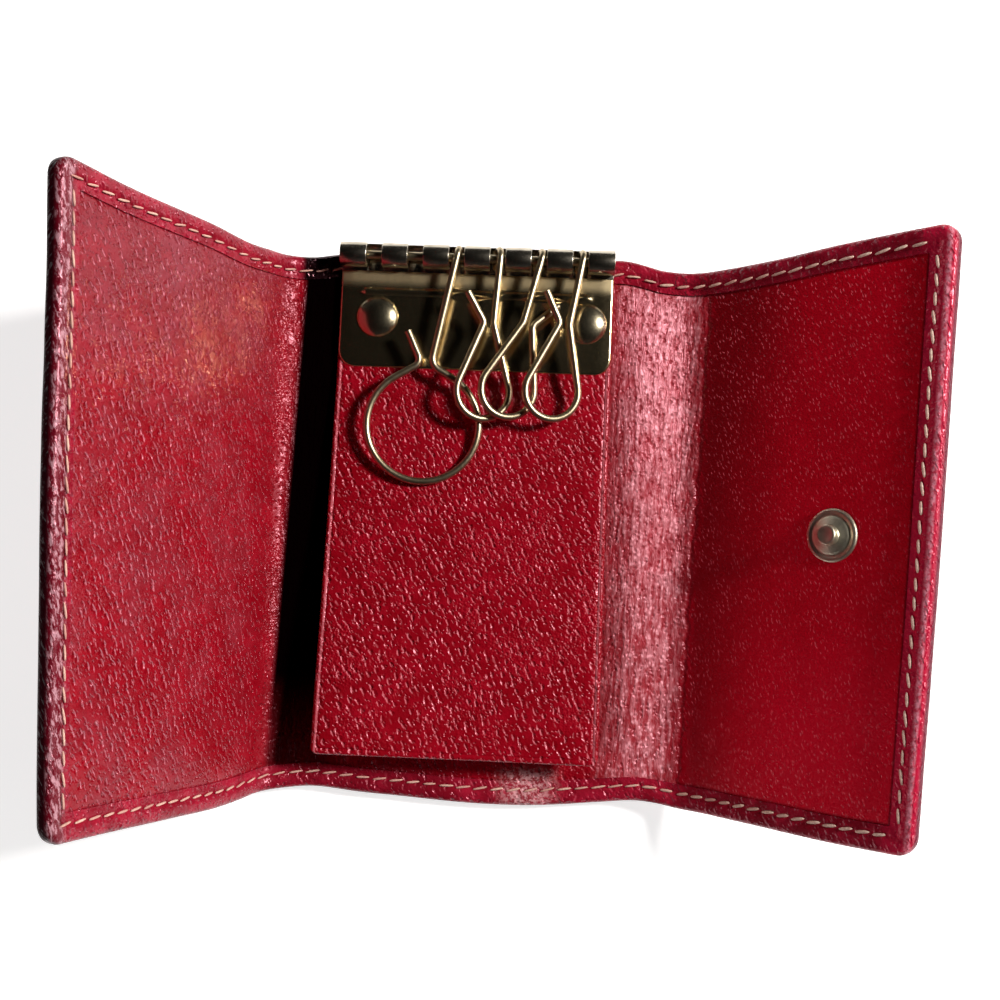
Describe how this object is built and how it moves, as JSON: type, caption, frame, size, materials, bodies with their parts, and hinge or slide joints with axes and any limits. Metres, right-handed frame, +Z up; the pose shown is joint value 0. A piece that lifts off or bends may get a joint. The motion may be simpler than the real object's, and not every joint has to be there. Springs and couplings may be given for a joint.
{
  "type": "key case",
  "caption": "Trifold leather key case, open: riveted plate with swinging wire key hooks on a back panel with a flap, and two hemmed wings that fold over it and snap shut.",
  "frame": {"origin": "centre of the back panel's outer face, which the open case lies on", "axes": "+X to the right wing, +Y along the folds to the key plate's end, +Z up out of the back's lining"},
  "size_m": [0.138, 0.1011, 0.0514],
  "materials": {
    "outer_leather": "glossy grained",
    "lining_leather": "grained",
    "card": "matte",
    "plate_brass": "polished",
    "hook_steel": "polished, warm",
    "fixing_brass": "worn"
  },
  "bodies": {
    "back": {"back_leather": "outer_leather", "back_board": "card", "back_lining": "lining_leather", "flap_root": "outer_leather", "hook_plate": "plate_brass", "hook_bar": "hook_steel", "rivet_left": "fixing_brass", "rivet_right": "fixing_brass", "washer_left": "fixing_brass", "washer_right": "fixing_brass"},
    "left_strip": {"left_strip_leather": "outer_leather", "left_strip_lining": "lining_leather"},
    "left_wing": {"left_wing_leather": "outer_leather", "left_wing_board": "card", "left_wing_lining": "lining_leather", "snap_socket": "fixing_brass", "socket_eyelet": "fixing_brass", "socket_spring": "fixing_brass"},
    "right_strip": {"right_strip_leather": "outer_leather", "right_strip_lining": "lining_leather"},
    "right_wing": {"right_wing_leather": "outer_leather", "right_wing_board": "card", "right_wing_lining": "lining_leather", "snap_stud": "fixing_brass", "stud_eyelet": "fixing_brass"},
    "flap": {"key_flap": "outer_leather"},
    "ring_hook": {"ring_hook": "hook_steel"},
    "pear_hook_left": {"pear_hook_left": "hook_steel"},
    "pear_hook_middle": {"pear_hook_middle": "hook_steel"},
    "pear_hook_right": {"pear_hook_right": "hook_steel"}
  },
  "joints": [
    {"name": "left_side_fold", "type": "hinge", "parent": "back", "child": "left_strip", "pos_m": [-0.0265, 0, 0.0032], "axis": [0, 1, 0], "range_deg": [-12, 78]},
    {"name": "left_wing_fold", "type": "hinge", "parent": "left_strip", "child": "left_wing", "pos_m": [-0.03433, 0, 0.00486], "axis": [0, 1, 0], "range_deg": [-51.5, 38.5]},
    {"name": "right_side_fold", "type": "hinge", "parent": "back", "child": "right_strip", "pos_m": [0.0265, 0, 0.0032], "axis": [0, -1, 0], "range_deg": [-10, 80]},
    {"name": "right_wing_fold", "type": "hinge", "parent": "right_strip", "child": "right_wing", "pos_m": [0.03979, 0, 0.00554], "axis": [0, -1, 0], "range_deg": [-29, 61]},
    {"name": "flap_flex", "type": "hinge", "parent": "back", "child": "flap", "pos_m": [0, 0.0285, 0.0036], "axis": [1, 0, 0], "range_deg": [-0.3, 4.2], "stiffness_Nm_per_rad": 0.15},
    {"name": "ring_hook_swing", "type": "hinge", "parent": "back", "child": "ring_hook", "pos_m": [-0.00375, 0.04885, 0.00585], "axis": [1, 0, 0], "range_deg": [-90, 0]},
    {"name": "pear_hook_left_swing", "type": "hinge", "parent": "ring_hook", "child": "pear_hook_left", "pos_m": [0.00375, 0.04885, 0.00585], "axis": [1, 0, 0], "range_deg": [-25, 0]},
    {"name": "pear_hook_middle_swing", "type": "hinge", "parent": "pear_hook_left", "child": "pear_hook_middle", "pos_m": [0.01125, 0.04885, 0.00585], "axis": [1, 0, 0], "range_deg": [-25, 0]},
    {"name": "pear_hook_right_swing", "type": "hinge", "parent": "pear_hook_middle", "child": "pear_hook_right", "pos_m": [0.01875, 0.04885, 0.00585], "axis": [1, 0, 0], "range_deg": [-25, 0]}
  ]
}
